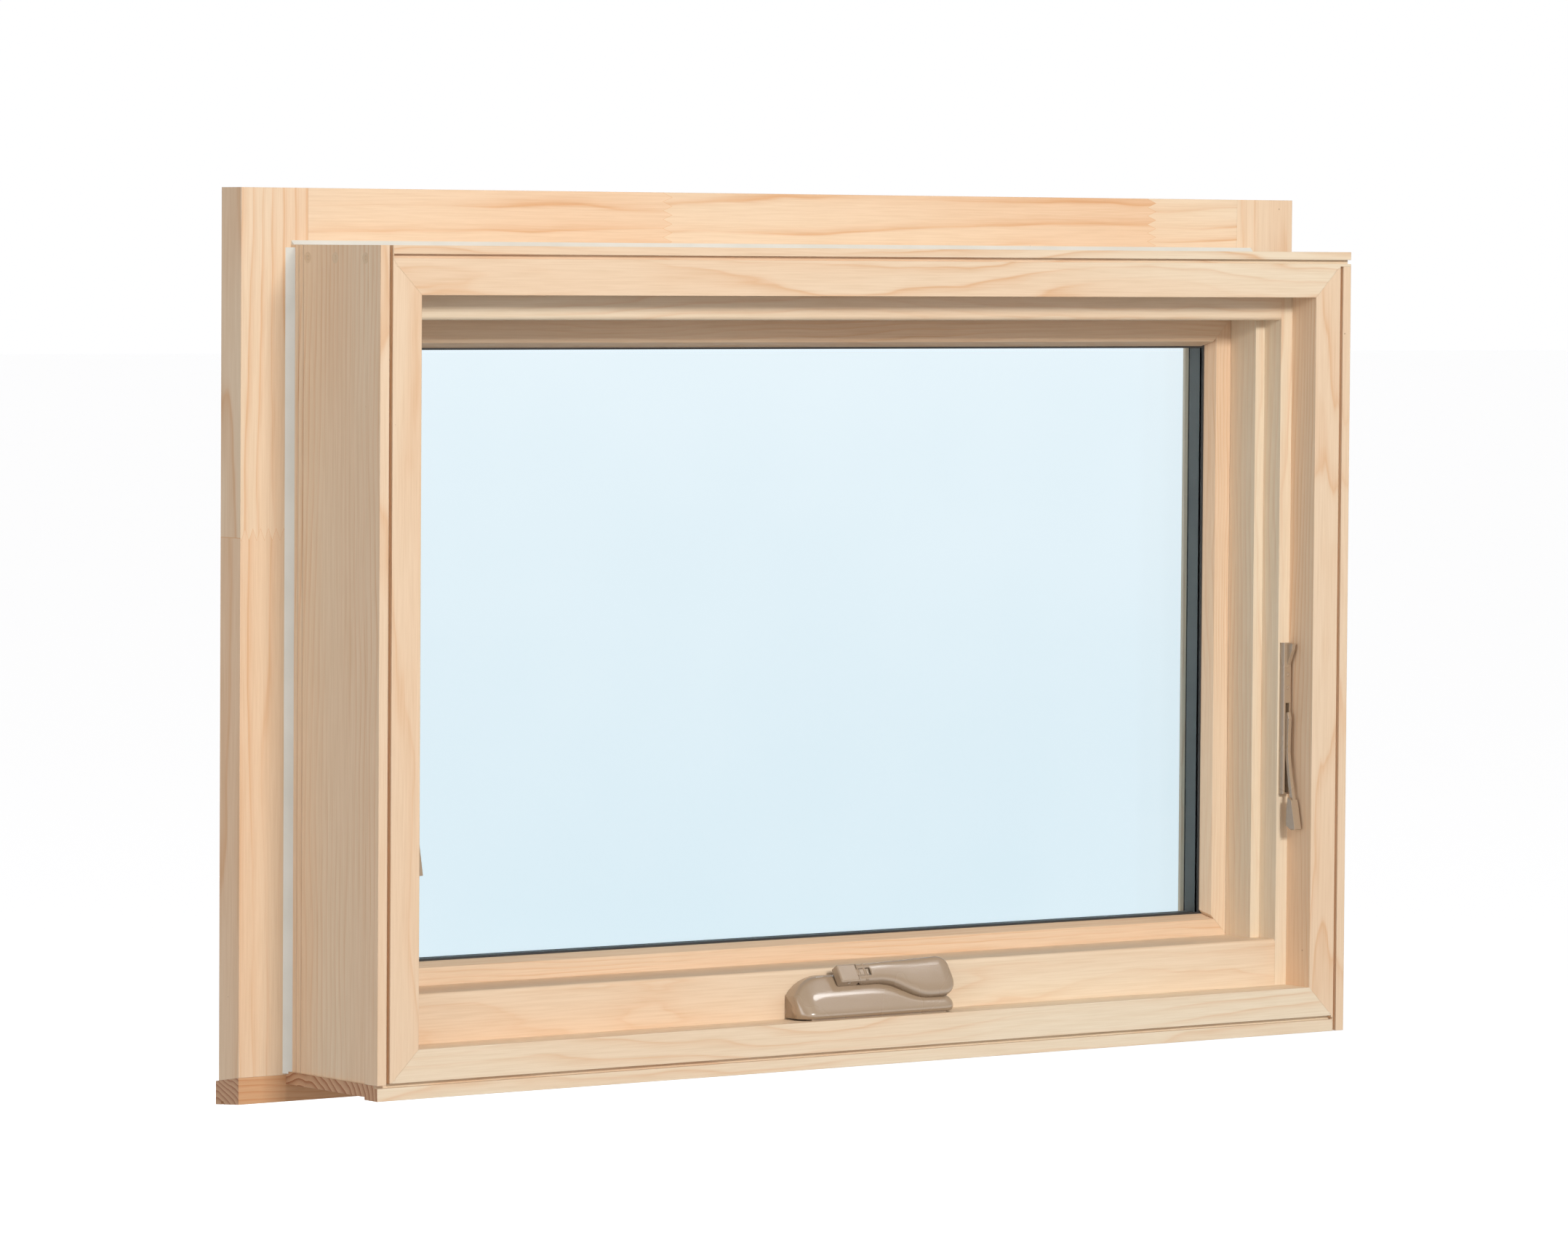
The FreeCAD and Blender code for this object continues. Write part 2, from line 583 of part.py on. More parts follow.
def build_operator():
    floor = face_width
    cover = cover_solid(0)
    sharp = edges_where(cover, lambda e: e.CenterOfMass.y < ledge_depth - cover_back - 0.5
                        and e.CenterOfMass.z > floor + cover_lift + 0.5)
    cover = cover.makeFillet(1.5, sharp)
    hollow = cover_solid(cover_wall)
    spindle_hole = in_face_frame(Part.makeCylinder(spindle_r + 1.6, 30.0, V(0, 0, -15.0)))
    keep("operator_cover", cut(cover, hollow, spindle_hole))

    # Base plate on the ledge, through the riser's throat, to the two arm pivots.
    y_end = link_pivot_y + 12.0
    plate = fuse(box(8.0 - cover_length / 2, cover_length / 2 - 8.0, 5.0, ledge_depth - 1.0,
                     floor, floor + base_thickness),
                 box(operator_x - throat_half + 1, operator_x + throat_half - 1,
                     ledge_depth - 1.0, y_end, floor, floor + base_thickness))
    bearing = in_face_frame(Part.makeCylinder(spindle_r + 2.2, 9.0, V(0, 0, -17.0)))
    leg_at = up_face * hub_reach + along_spindle * (face_level - 12.0) + V(0, 0, face_width)
    legs = [box(operator_x + s * 6.5 - 1.25, operator_x + s * 6.5 + 1.25, leg_at.y - 5.0,
                leg_at.y + 4.0, floor, leg_at.z) for s in (-1, 1)]
    base = fuse(plate, bearing, *legs)
    base = cut(base, in_face_frame(Part.makeCylinder(spindle_r + run_fit, 40.0, V(0, 0, -30.0))))
    pin_top = floor + base_thickness + link_gap + link_thickness
    for side, name in ((-1, "left"), (1, "right")):
        x = operator_x + side * pull_links
        base = fuse(base, rod(link_pin_r, (x, link_pivot_y, floor), (x, link_pivot_y, pin_top)))
    mount_at = [(x, 14.0, floor + base_thickness)
                for x in (16.0 - cover_length / 2, cover_length / 2 - 16.0)]
    mount_at += [(operator_x + s * 20.0, 46.0, floor + base_thickness) for s in (-1, 1)]
    screws = [screw(2.8, 1.6, 16.0, at, (0, 0, -1)) for at in mount_at]
    holes = [screw_hole(2.8, 1.6, 16.0, at, (0, 0, -1)) for at in mount_at]
    keep("operator_base", cut(base, *holes))
    keep("operator_screws", group(*screws))
    keep("sill", cut(parts["sill"], *holes))

    worm = Part.makeCylinder(worm_r, 9.0, V(0, 0, -40.0))
    shaft = Part.makeCylinder(spindle_r, 44.0, V(0, 0, -40.0))
    spline = Part.makeCylinder(spindle_r - 0.4, 3.0, V(0, 0, 4.0))
    keep("spindle", in_face_frame(fuse(worm, shaft, spline)))

    # Crank hub: a block on the spindle with a tongue for the folding handle.
    level = arm_gap
    pin_x = hub_length / 2 + fold_radius + 0.4
    pin_q = level + handle_thickness - 1.0
    top = level + handle_thickness
    hub = Part.makeBox(hub_length, hub_width, handle_thickness,
                       V(-hub_length / 2, -hub_width / 2, level))
    hub = hub.makeFillet(1.2, edges_where(hub, lambda e: e.CenterOfMass.z > top - 0.1
                                          or e.CenterOfMass.x < -hub_length / 2 + 0.1))
    tongue = fuse(Part.makeBox(pin_x - hub_length / 2 + 1.0, 5.0, 4.0,
                               V(hub_length / 2 - 1.0, -2.5, pin_q - 3.2)),
                  Part.makeCylinder(3.2, 5.0, V(pin_x, -2.5, pin_q), V(0, 1, 0)))
    tongue = tongue.common(Part.makeBox(60, 60, top - 0.2, V(-30, -30, 0)))
    hub = fuse(hub, tongue)
    hub = cut(hub, Part.makeCylinder(fold_pin_r + run_fit, 20.0, V(pin_x, -10, pin_q), V(0, 1, 0)),
              Part.makeCylinder(spindle_r - 0.4, 7.0 - level, V(0, 0, level)),
              Part.makeCylinder(spindle_r, 4.0 - level, V(0, 0, level)))
    set_at = V(0, -hub_width / 2, level + 4.2)
    set_screw = Part.makeCylinder(1.25, hub_width / 2 - spindle_r + 0.4, set_at, V(0, 1, 0))
    keep("crank_hub", in_face_frame(cut(hub, set_screw)))
    keep("hub_set_screw", in_face_frame(set_screw))

    # Handle: narrow by the fold, widening along an S curve to the grip paddle.
    tip = pin_x + handle_reach
    neck = hub_width / 2
    lower = [V(pin_x + 8, -neck, 0), V(pin_x + 22, -neck - 0.5, 0), V(pin_x + 36, -neck - 7.0, 0),
             V(pin_x + 47, -neck - 12.5, 0), V(pin_x + 56, -neck - 13.5, 0)]
    curve = Part.BSplineCurve()
    curve.interpolate(lower)
    start = V(pin_x - fold_radius, -neck, 0)
    corners = [V(tip - 4, -neck - 13.0, 0), V(tip, -neck - 7.0, 0), V(tip - 2.0, neck + 1.0, 0),
               V(tip - 9.0, neck + 3.5, 0), V(pin_x + 22.0, neck + 1.5, 0),
               V(pin_x - fold_radius, neck, 0)]
    edges = [Part.makeLine(start, lower[0]), curve.toShape(), Part.makeLine(lower[-1], corners[0])]
    for a, b in zip(corners, corners[1:]):
        edges.append(Part.makeLine(a, b))
    edges.append(Part.makeLine(corners[-1], start))
    plan = Part.Face(Part.Wire(edges))
    plan.translate(V(0, 0, level))
    handle = plan.extrude(V(0, 0, handle_thickness))
    upper_rim = edges_where(handle, lambda e: abs(e.CenterOfMass.z - top) < 0.01
                            and e.CenterOfMass.x > pin_x)
    handle = handle.makeFillet(1.6, upper_rim)
    round_end = Part.makeCylinder(fold_radius, 60.0, V(pin_x, -30, pin_q), V(0, 1, 0))
    end_box = Part.makeBox(fold_radius + 1, 60, 30, V(pin_x - fold_radius - 1, -30, -5))
    handle = cut(handle, cut(end_box, round_end))
    slot = Part.makeBox(fold_radius + 7.5, 5.6, 30.0, V(pin_x - fold_radius - 1, -2.8, -5.0))
    knob_x = tip - 17.0
    knob_y = -4.5
    knob_space = Part.makeCylinder(9.4, 5.6, V(knob_x, knob_y, level - 1.0))
    knob_pin = fuse(Part.makeCylinder(1.5, 5.4, V(knob_x, knob_y, level + 0.5)),
                    Part.makeCylinder(2.6, 0.8, V(knob_x, knob_y, level + 0.2)))
    fold_pin = Part.makeCylinder(fold_pin_r, hub_width - 1.0, V(pin_x, -neck + 0.5, pin_q), V(0, 1, 0))
    keep("handle_arm", in_face_frame(cut(handle, slot, knob_space, fold_pin, knob_pin)))
    knob = cut(Part.makeCylinder(8.8, 3.8, V(knob_x, knob_y, level + 0.4)),
               Part.makeCylinder(1.5 + run_fit, 9.0, V(knob_x, knob_y, level - 1)),
               Part.makeCylinder(2.9, 1.3, V(knob_x, knob_y, level)))
    keep("handle_knob", in_face_frame(knob))
    keep("handle_pins", group(in_face_frame(knob_pin), in_face_frame(fold_pin)))
    build_arms(pin_top)


def build_arms(pin_top):
    """Two elbow arms fold flat behind the sill stop and push the sash's pull bar straight out."""
    low = face_width + base_thickness + link_gap
    high = low + link_thickness + link_gap
    reach_y = hinge_y - link_pivot_y
    swing = asin(reach_y / 2 / link_length)
    bar_r = 2.8
    for side, name in ((-1, "left"), (1, "right")):
        x = operator_x + side * pull_links
        pivot = V(x, link_pivot_y, 0)
        elbow = pivot + V(side * link_length * cos(swing), link_length * sin(swing), 0)
        pull = V(x, hinge_y, 0)
        inner = link(pivot, elbow, low)
        sector = Part.makeCylinder(13.0, link_thickness, V(x, link_pivot_y, low))
        inner = fuse(inner, sector.common(box(x - 20, x + 20, link_pivot_y - 20,
                                              link_pivot_y + 20, 0, 99)))
        inner = cut(inner, post(pivot, link_pin_r + run_fit, low))
        elbow_pin = Part.makeCylinder(link_pin_r, high + link_thickness - low, elbow + V(0, 0, low))
        keep("inner_link_" + name, fuse(inner, elbow_pin))
        outer = cut(link(elbow, pull, high), post(elbow, link_pin_r + run_fit, high),
                    post(pull, 1.5 + pull_slack, high))
        keep("outer_link_" + name, outer)
    reach = pull_links + 5.0
    bar = rod(bar_r, (operator_x - reach, hinge_y, hinge_z), (operator_x + reach, hinge_y, hinge_z))
    for side in (-1, 1):
        x = operator_x + side * pull_links
        bar = fuse(bar, rod(1.5, (x, hinge_y, high), (x, hinge_y, hinge_z)))
    cross = rod(1.2, (operator_x - reach - 4.5, hinge_y, hinge_z),
                (operator_x + reach + 4.5, hinge_y, hinge_z))
    bore = rod(1.2 + run_fit, (operator_x - reach - 5, hinge_y, hinge_z),
               (operator_x + reach + 5, hinge_y, hinge_z))
    keep("pull_bar", cut(bar, bore))
    keep("pull_pin", cross)
    plate_y1 = hinge_y + 18.0
    plate = box(operator_x - reach - 12, operator_x + reach + 12, hinge_y - 5.0, plate_y1,
                sash_bottom - 1.2, sash_bottom)
    ears = []
    for side in (-1, 1):
        x0 = operator_x + side * (reach + 0.5)
        x1 = operator_x + side * (reach + 4.0)
        ear = fuse(rod(bar_r, (min(x0, x1), hinge_y, hinge_z), (max(x0, x1), hinge_y, hinge_z)),
                   box(min(x0, x1), max(x0, x1), hinge_y - bar_r, hinge_y + bar_r, hinge_z,
                       sash_bottom - 0.6))
        ears.append(ear)
    bracket_at = [(operator_x + s * (reach + 8.0), hinge_y + 12.0, sash_bottom - 1.2)
                  for s in (-1, 1)]
    screws = [screw(2.4, 1.4, 14.0, at, (0, 0, 1), 0.5) for at in bracket_at]
    holes = [screw_hole(2.4, 1.4, 14.0, at, (0, 0, 1)) for at in bracket_at]
    keep("pull_bracket", cut(fuse(plate, *ears), cross, *holes))
    keep("sash_screws", group(*parts["sash_screws"].Solids, *screws))
    keep("sash_rail_bottom", cut(parts["sash_rail_bottom"], *holes))


def link(start, end, z):
    along = (end - start).normalize()
    across = V(-along.y, along.x, 0) * (link_width / 2)
    corners = [start + across, end + across, end - across, start - across]
    bar = prism_z([(c.x, c.y) for c in corners], z, z + link_thickness)
    ends = [Part.makeCylinder(link_width / 2, link_thickness, V(p.x, p.y, z)) for p in (start, end)]
    return fuse(bar, *ends)


def post(at, radius, z):
    return Part.makeCylinder(radius, link_thickness + 2, V(at.x, at.y, z - 1))


# ---- Side locks ------------------------------------------------------------------------------
def build_locks():
    face_x = half_w - face_width - stop_step_1 / 2
    y_face = ledge_depth
    plate_y = y_face - lock_plate
    half = lock_width / 2
    low, high = lock_z + lock_top - lock_length, lock_z + lock_top
    body = box(face_x - half, face_x + half, plate_y, y_face, low, high)
    body = body.makeFillet(0.8, edges_where(body, lambda e: e.CenterOfMass.y < plate_y + 0.1))
    rib = prism_x([(plate_y + 0.5, high - 0.6), (plate_y - 6.0, high - 0.6),
                   (plate_y - 5.2, high - 5.0), (plate_y + 0.5, high - 18.0)],
                  face_x + half - 4.4, face_x + half - 1.0)
    pivot_y = plate_y + 1.4
    slot = box(face_x - 1.8, face_x + 1.8, plate_y - 1, y_face + 1, low + 1.5, lock_z + 12.0)
    pocket = box(face_x - 1.8, face_x + 1.8, y_face - 1, y_face + 4.0, lock_z - 9.0, lock_z + 9.0)
    pin = rod(1.2, (face_x - half + 0.6, pivot_y, lock_z), (face_x + half - 0.6, pivot_y, lock_z))
    plate = cut(fuse(body, rib), slot, pin)
    at = [(face_x, plate_y, z) for z in (high - 24.0, high - 34.0)]
    screws = [screw(1.9, 1.1, 18.0, p, (0, 1, 0), 0.4) for p in at]
    holes = [screw_hole(1.9, 1.1, 18.0, p, (0, 1, 0)) for p in at]
    # Lever, drawn as (y, z) from the pivot, hanging down to a thumb paddle.
    outline = [(-3.6, 5.0), (-4.8, 0.0), (-4.2, -12.0), (-4.0, -26.0), (-6.2, -42.0),
               (-10.4, -62.0), (-13.4, -lock_lever_length + 8.0), (-15.0, -lock_lever_length),
               (-11.0, -lock_lever_length - 0.8), (-5.0, -lock_lever_length + 2.5),
               (-5.2, -lock_lever_length + 15.0), (-6.6, -60.0), (-3.4, -42.0), (-1.0, -27.0),
               (1.2, -12.0), (2.6, 0.0), (1.6, 4.0)]
    lever = prism_x([(pivot_y + y, lock_z + z) for y, z in outline], face_x - 1.5, face_x + 1.5)
    grip = [p for p in outline if p[1] < -50.0]
    lever = fuse(lever, prism_x([(pivot_y + y, lock_z + z) for y, z in grip],
                                face_x - 3.4, face_x + 3.4))
    lever = cut(lever, rod(1.2 + run_fit, (face_x - 9, pivot_y, lock_z), (face_x + 9, pivot_y, lock_z)))
    fasteners = [pin] + screws
    keep("lock_fasteners", group(*fasteners, *[mirror_x(s) for s in fasteners]))
    for side, name in ((1, "right"), (-1, "left")):
        place = (lambda s: s) if side > 0 else mirror_x
        keep("lock_plate_" + name, place(cut(plate, *holes)))
        keep("lock_lever_" + name, place(lever))
        stop = "side_stop_" + name
        keep(stop, cut(parts[stop], place(pocket), *[place(h) for h in holes]))


def main():
    build_frame()
    build_stops()
    build_casing()
    build_sash()
    build_hinges()
    build_operator()
    build_locks()
    os.makedirs("parts", exist_ok=True)
    shift = V(0, -jamb_depth / 2, -lip_step)
    for node, shape in sorted(parts.items()):
        placed = shape.copy()
        placed.translate(shift)
        placed.exportStep("parts/" + node + ".step")
        solids = placed.Solids
        valid = all(s.isValid() for s in solids)
        print(node, len(solids), round(sum(s.Volume for s in solids)), "" if valid else "INVALID")


main()
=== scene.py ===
"""Looks of the awning window: pine with grain and finger joints, enamelled hardware, glass."""
import json
import math

import bpy
from mathutils import Matrix, Vector


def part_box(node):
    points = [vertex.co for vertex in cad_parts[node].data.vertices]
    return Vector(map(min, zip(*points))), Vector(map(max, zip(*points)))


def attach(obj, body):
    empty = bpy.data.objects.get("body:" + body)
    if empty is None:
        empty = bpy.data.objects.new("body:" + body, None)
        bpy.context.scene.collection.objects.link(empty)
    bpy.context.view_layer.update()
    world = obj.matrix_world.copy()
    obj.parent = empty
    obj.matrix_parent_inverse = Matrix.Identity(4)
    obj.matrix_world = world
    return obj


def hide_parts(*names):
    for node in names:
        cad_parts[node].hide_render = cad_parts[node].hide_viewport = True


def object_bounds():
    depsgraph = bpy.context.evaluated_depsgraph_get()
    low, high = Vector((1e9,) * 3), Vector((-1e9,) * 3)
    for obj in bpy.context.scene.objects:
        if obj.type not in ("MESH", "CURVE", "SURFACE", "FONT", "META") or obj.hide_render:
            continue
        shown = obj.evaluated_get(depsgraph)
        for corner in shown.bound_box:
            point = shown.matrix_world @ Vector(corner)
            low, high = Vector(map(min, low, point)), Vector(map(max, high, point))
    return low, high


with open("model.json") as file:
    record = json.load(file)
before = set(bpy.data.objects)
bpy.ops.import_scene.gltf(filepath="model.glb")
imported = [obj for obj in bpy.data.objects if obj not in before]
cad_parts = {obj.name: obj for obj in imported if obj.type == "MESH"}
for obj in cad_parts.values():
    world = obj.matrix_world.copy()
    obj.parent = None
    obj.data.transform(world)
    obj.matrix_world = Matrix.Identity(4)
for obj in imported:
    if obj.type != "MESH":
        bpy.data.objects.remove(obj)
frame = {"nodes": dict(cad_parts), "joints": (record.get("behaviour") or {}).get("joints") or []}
cad_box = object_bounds()
nodes = frame["nodes"]
joints = {joint["name"]: joint for joint in frame["joints"]}

MM = 0.001
WHITE = (1, 1, 1, 1)
CREAM = (0.78, 0.65, 0.485, 1)
PEACH = (0.76, 0.53, 0.35, 1)
LATEWOOD = (0.64, 0.335, 0.15, 1)
FIBRE_SHADE = (0.86, 0.80, 0.72, 1)
SPECK = (0.25, 0.12, 0.05, 1)
END_PALE = (0.62, 0.38, 0.23, 1)
END_MIDDLE = (0.52, 0.30, 0.17, 1)
END_GRAIN = (0.36, 0.15, 0.07, 1)
END_PORE = (0.6, 0.55, 0.5, 1)
ENAMEL = (0.36, 0.255, 0.165, 1)
ENAMEL_FLECK = (0.50, 0.385, 0.27, 1)
ENAMEL_CLOUD = (0.27, 0.185, 0.115, 1)
DARK_STEEL = (0.56, 0.56, 0.54, 1)
PALE_STEEL = (0.68, 0.67, 0.63, 1)
# The glass's colour at the bottom and at the top; the paler top is painted light.
GLASS_TINT_LOW_PAINTED_LIGHT = (0.842, 0.925, 0.961, 1)
GLASS_TINT_HIGH_PAINTED_LIGHT = (0.905, 0.965, 0.992, 1)
FLOOR_PALE = (0.90, 0.90, 0.90, 1)
FLOOR_CLOUD = (0.7, 0.7, 0.7, 1)

# Finger joints in the casing boards.
FINGER_PITCH = 6.5 * MM      # one finger to the next, across the board
FINGER_SLOPE = 2.6           # how far the joint's line runs along the grain for a step across
SEAM_HALF = 0.35 * MM        # half the width of the joint's line
TIMBER_STEP = 7.31           # shift of every pattern from one piece of timber to the next

# Sockets of the Mix node when it mixes colours.
MIX_AMOUNT, MIX_A, MIX_B, MIX_RESULT = 0, 6, 7, 2


# ---- Shader building -------------------------------------------------------------------------
def set_stops(ramp, stops):
    """Gives a colour ramp its (place, colour) pairs."""
    while len(ramp.elements) < len(stops):
        ramp.elements.new(0.5)
    for element, (place, colour) in zip(ramp.elements, stops):
        element.position = place
        element.color = colour


class Graph:
    """A material's node tree, with a short call for each kind of node used here."""

    def __init__(self, name):
        self.material = bpy.data.materials.new(name)
        self.material.use_nodes = True
        self.tree = self.material.node_tree
        self.tree.nodes.clear()
        self.out = self.tree.nodes.new("ShaderNodeOutputMaterial")
        self.shader = self.tree.nodes.new("ShaderNodeBsdfPrincipled")
        self.link(self.shader.outputs[0], self.out.inputs[0])
        self.coords = self.tree.nodes.new("ShaderNodeTexCoord")

    def link(self, source, target):
        self.tree.links.new(source, target)

    def put(self, value, socket):
        if isinstance(value, bpy.types.NodeSocket):
            self.link(value, socket)
        else:
            socket.default_value = value

    def math(self, kind, a, b=0.0, c=0.0, clamp=False):
        node = self.tree.nodes.new("ShaderNodeMath")
        node.operation = kind
        node.use_clamp = clamp
        for value, socket in zip((a, b, c), node.inputs):
            self.put(value, socket)
        return node.outputs[0]

    def split(self, vector):
        node = self.tree.nodes.new("ShaderNodeSeparateXYZ")
        self.link(vector, node.inputs[0])
        return node.outputs

    def join(self, x, y, z):
        node = self.tree.nodes.new("ShaderNodeCombineXYZ")
        for value, socket in zip((x, y, z), node.inputs):
            self.put(value, socket)
        return node.outputs[0]

    def scaled(self, parts, factors):
        """Vector of three parts, each times its factor."""
        return self.join(*(self.math("MULTIPLY", p, f) for p, f in zip(parts, factors)))

    def add_vectors(self, a, b):
        node = self.tree.nodes.new("ShaderNodeVectorMath")
        self.link(a, node.inputs[0])
        self.link(b, node.inputs[1])
        return node.outputs[0]

    def swing(self, value, amount):
        """A 0 to 1 value turned into one that swings about nought."""
        return self.math("MULTIPLY", self.math("SUBTRACT", value, 0.5), amount)

    def noise(self, vector, scale, detail=3.0, rough=0.5):
        node = self.tree.nodes.new("ShaderNodeTexNoise")
        self.put(vector, node.inputs["Vector"])
        node.inputs["Scale"].default_value = scale
        node.inputs["Detail"].default_value = detail
        node.inputs["Roughness"].default_value = rough
        return node.outputs["Fac"]

    def ramp(self, value, stops):
        """Colour ramp from (place, colour) pairs; a plain number is a grey."""
        node = self.tree.nodes.new("ShaderNodeValToRGB")
        self.put(value, node.inputs[0])
        greys = [(place, c if isinstance(c, tuple) else (c, c, c, 1)) for place, c in stops]
        set_stops(node.color_ramp, greys)
        return node.outputs[0]

    def mix(self, amount, a, b, kind="MIX"):
        node = self.tree.nodes.new("ShaderNodeMix")
        node.data_type = "RGBA"
        node.blend_type = kind
        self.put(amount, node.inputs[MIX_AMOUNT])
        self.put(a, node.inputs[MIX_A])
        self.put(b, node.inputs[MIX_B])
        return node.outputs[MIX_RESULT]

    def bump(self, height, strength, distance=0.001, normal=None):
        node = self.tree.nodes.new("ShaderNodeBump")
        node.inputs["Strength"].default_value = strength
        node.inputs["Distance"].default_value = distance
        self.link(height, node.inputs["Height"])
        if normal is not None:
            self.link(normal, node.inputs["Normal"])
        return node.outputs[0]

    def soft_edges(self, radius):
        node = self.tree.nodes.new("ShaderNodeBevel")
        node.samples = 4
        node.inputs["Radius"].default_value = radius
        return node.outputs[0]

    def finish(self, colour, roughness, normal=None, **fixed):
        """The material; `fixed` are the shader's other values, with _ for a space in their names."""
        self.put(colour, self.shader.inputs["Base Color"])
        self.put(roughness, self.shader.inputs["Roughness"])
        if normal is not None:
            self.link(normal, self.shader.inputs["Normal"])
        for name, value in fixed.items():
            self.shader.inputs[name.replace("_", " ")].default_value = value
        return self.material


def finger_joints(g, place, across, joints):
    """(number of the timber piece, seam) for zigzag joints; both None on a whole board.

    What is past a joint is another piece of timber, so each pattern is shifted by its number.
    """
    tooth = g.math("PINGPONG", across, FINGER_PITCH / 2)
    place = g.math("ADD", place, g.math("MULTIPLY", tooth, FINGER_SLOPE))
    piece = None
    seam = None
    for joint in joints:
        past = g.math("GREATER_THAN", place, joint)
        near = g.math("COMPARE", place, joint, SEAM_HALF)
        piece = past if piece is None else g.math("ADD", piece, past)
        seam = near if seam is None else g.math("MAXIMUM", seam, near)
    return piece, seam


def growth_rings(g, b, c, drift, shift, pith, ring, jointed):
    """Place within a growth ring, 0 to 1, by distance from the pith, which wanders slowly."""
    bend = g.swing(g.noise(drift, 1.3, 2.0), 0.040)
    wobble = g.swing(g.noise(drift, 6.0, 2.0), 0.006)
    wander = g.math("ADD", bend, wobble)
    turn = g.math("SINE", g.math("MULTIPLY", shift, 3.7))
    pith_b = g.math("MULTIPLY_ADD", turn, 0.03 if jointed else 0.0, pith[0])
    db = g.math("SUBTRACT", b, pith_b)
    dc = g.math("SUBTRACT", c, pith[1])
    radius = g.math("SQRT", g.math("ADD", g.math("MULTIPLY", db, db), g.math("MULTIPLY", dc, dc)))
    always_positive = g.math("ADD", g.math("ADD", radius, wander), 0.4)
    return g.math("FRACT", g.math("DIVIDE", always_positive, ring))


def pine(name, along, seed, pith, ring, warm, contrast, joints=(), across="z", shade=None):
    """Pine board. `along` is the grain's axis; `pith` is where the rings' centre crosses the other
    two axes; `joints` are the finger joints' places along the grain, with fingers `across` it."""
    g = Graph(name)
    spot = g.coords.outputs["Object"]
    axis = dict(zip("xyz", g.split(spot)))
    a = axis[along]
    b, c = [axis[k] for k in "xyz" if k != along]
    piece, seam = finger_joints(g, a, axis[across], joints)
    shift = seed if piece is None else g.math("MULTIPLY_ADD", piece, TIMBER_STEP, seed)
    drift = g.add_vectors(g.scaled((a, b, c), (1.6, 9.0, 9.0)), g.join(shift, shift, shift))
    rings = growth_rings(g, b, c, drift, shift, pith, ring, bool(joints))
    late = g.ramp(rings, [(0.0, 0.25), (0.1, 0.0), (0.5, 0.05), (0.8, 0.45), (0.93, 1.0), (1.0, 0.25)])
    faint = g.ramp(g.noise(drift, 3.1, 1.0), [(0.34, 0.15 * contrast), (0.62, contrast)])
    tone = g.math("ADD", g.swing(g.noise(drift, 0.9, 2.0), 2.2), warm, clamp=True)
    wood = g.mix(g.math("MULTIPLY", late, faint), g.mix(tone, CREAM, PEACH), LATEWOOD)
    # A multiplied colour darkens the wood here: this is painted shade, not the timber's own colour.
    if shade is not None:
        wood = g.mix(1.0, wood, shade, "MULTIPLY")
    # Fine fibre streaks along the grain, and a few dark specks.
    streak = g.noise(g.scaled((a, b, c), (22.0, 900.0, 900.0)), 1.0, 3.0, 0.6)
    wood = g.mix(0.5, wood, g.ramp(streak, [(0.3, FIBRE_SHADE), (0.62, WHITE)]), "MULTIPLY")
    dots = g.tree.nodes.new("ShaderNodeTexVoronoi")
    dots.inputs["Scale"].default_value = 26.0
    g.link(spot, dots.inputs["Vector"])
    wood = g.mix(g.ramp(dots.outputs["Distance"], [(0.012, 0.55), (0.022, 0.0)]), wood, SPECK)
    if seam is not None:
        wood = g.mix(g.math("MULTIPLY", seam, 0.55), wood, LATEWOOD)
    # End grain shows on faces square to the grain.
    normal = g.split(g.coords.outputs["Normal"])["xyz".index(along)]
    end = g.math("GREATER_THAN", g.math("ABSOLUTE", normal), 0.8)
    arcs = g.ramp(rings, [(0.0, END_PALE), (0.55, END_MIDDLE), (0.9, END_GRAIN)])
    pores = g.ramp(g.noise(spot, 2600.0, 2.0), [(0.35, END_PORE), (0.6, WHITE)])
    wood = g.mix(end, wood, g.mix(0.6, arcs, pores, "MULTIPLY"))
    rough = g.ramp(streak, [(0.3, 0.62), (0.7, 0.5)])
    height = g.math("MULTIPLY_ADD", streak, 0.4, g.math("MULTIPLY", late, 0.25))
    bumped = g.bump(height, 0.12, 0.6 * MM, g.soft_edges(0.6 * MM))
    return g.finish(wood, rough, bumped, Specular_IOR_Level=0.35)


def enamel(name):
    """Baked taupe enamel: glossy, with a fine pearl fleck and a faint orange peel."""
    g = Graph(name)
    spot = g.coords.outputs["Object"]
    fleck = g.noise(spot, 5200.0, 2.0)
    cloud = g.noise(spot, 22.0, 2.0)
    colour = g.mix(g.ramp(fleck, [(0.44, 0.0), (0.70, 0.28)]), ENAMEL, ENAMEL_FLECK)
    colour = g.mix(g.math("MULTIPLY", cloud, 0.14), colour, ENAMEL_CLOUD)
    rough = g.ramp(cloud, [(0.3, 0.24), (0.7, 0.29)])
    peel = g.bump(g.noise(spot, 420.0, 0.0), 0.012, 0.4 * MM, g.soft_edges(0.5 * MM))
    return g.finish(colour, rough, peel, Coat_Weight=0.7, Coat_Roughness=0.1,
                    Specular_IOR_Level=0.75)


def plated(name):
    """Dull plated steel, brushed up and down."""
    g = Graph(name)
    spot = g.coords.outputs["Object"]
    brushed = g.noise(g.scaled(g.split(spot), (700.0, 700.0, 25.0)), 1.0, 3.0)
    colour = g.mix(g.noise(spot, 35.0, 3.0), DARK_STEEL, PALE_STEEL)
    rough = g.ramp(brushed, [(0.3, 0.28), (0.7, 0.45)])
    return g.finish(colour, rough, g.bump(brushed, 0.06, 0.4 * MM), Metallic=1.0)


